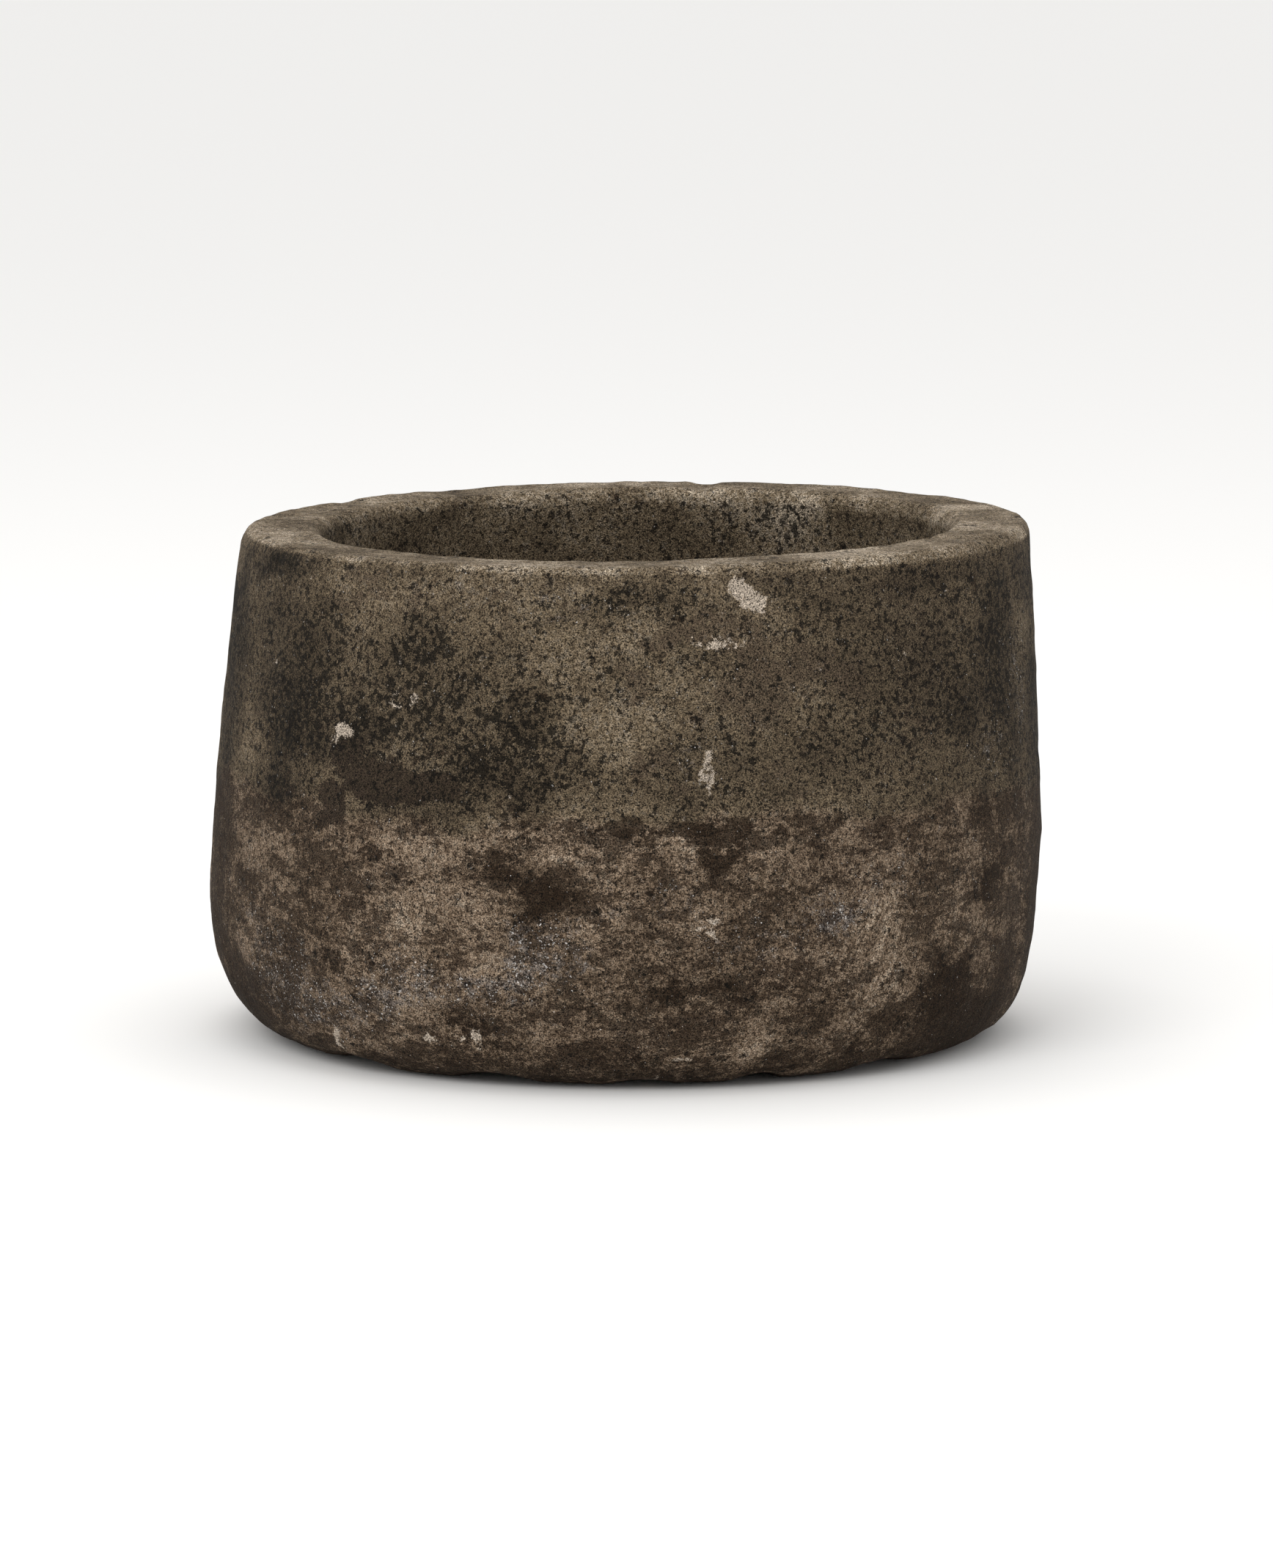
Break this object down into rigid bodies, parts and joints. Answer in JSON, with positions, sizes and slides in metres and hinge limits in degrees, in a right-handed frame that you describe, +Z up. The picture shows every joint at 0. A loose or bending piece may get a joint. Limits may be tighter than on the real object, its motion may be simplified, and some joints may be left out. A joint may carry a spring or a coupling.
{
  "type": "stone mortar",
  "caption": "Deep hand-carved stone mortar with a thick rounded rim and a flat foot, and its loose hand stone resting in the hollow.",
  "frame": {"origin": "on the ground under the middle of the outline, in the plane of the flat foot", "axes": "+Z up through the mouth, -Y towards the front, +X to the right seen from the front"},
  "size_m": [0.4614, 0.46, 0.284],
  "materials": {
    "weathered_stone": "hand-carved tan volcanic stone, weathered: black lichen speckle above, a soot edge at half height, brown and lime stains below",
    "basalt": "dark pitted basalt, worn smoother on the grinding face and the grip"
  },
  "bodies": {
    "bowl": {"bowl": "weathered_stone"},
    "tejolote": {"tejolote": "basalt"}
  },
  "joints": [
    {"name": "tejolote_lift", "type": "slide", "parent": "bowl", "child": "tejolote", "axis": [0, 0, 1], "range_m": [0, 0.24]}
  ]
}
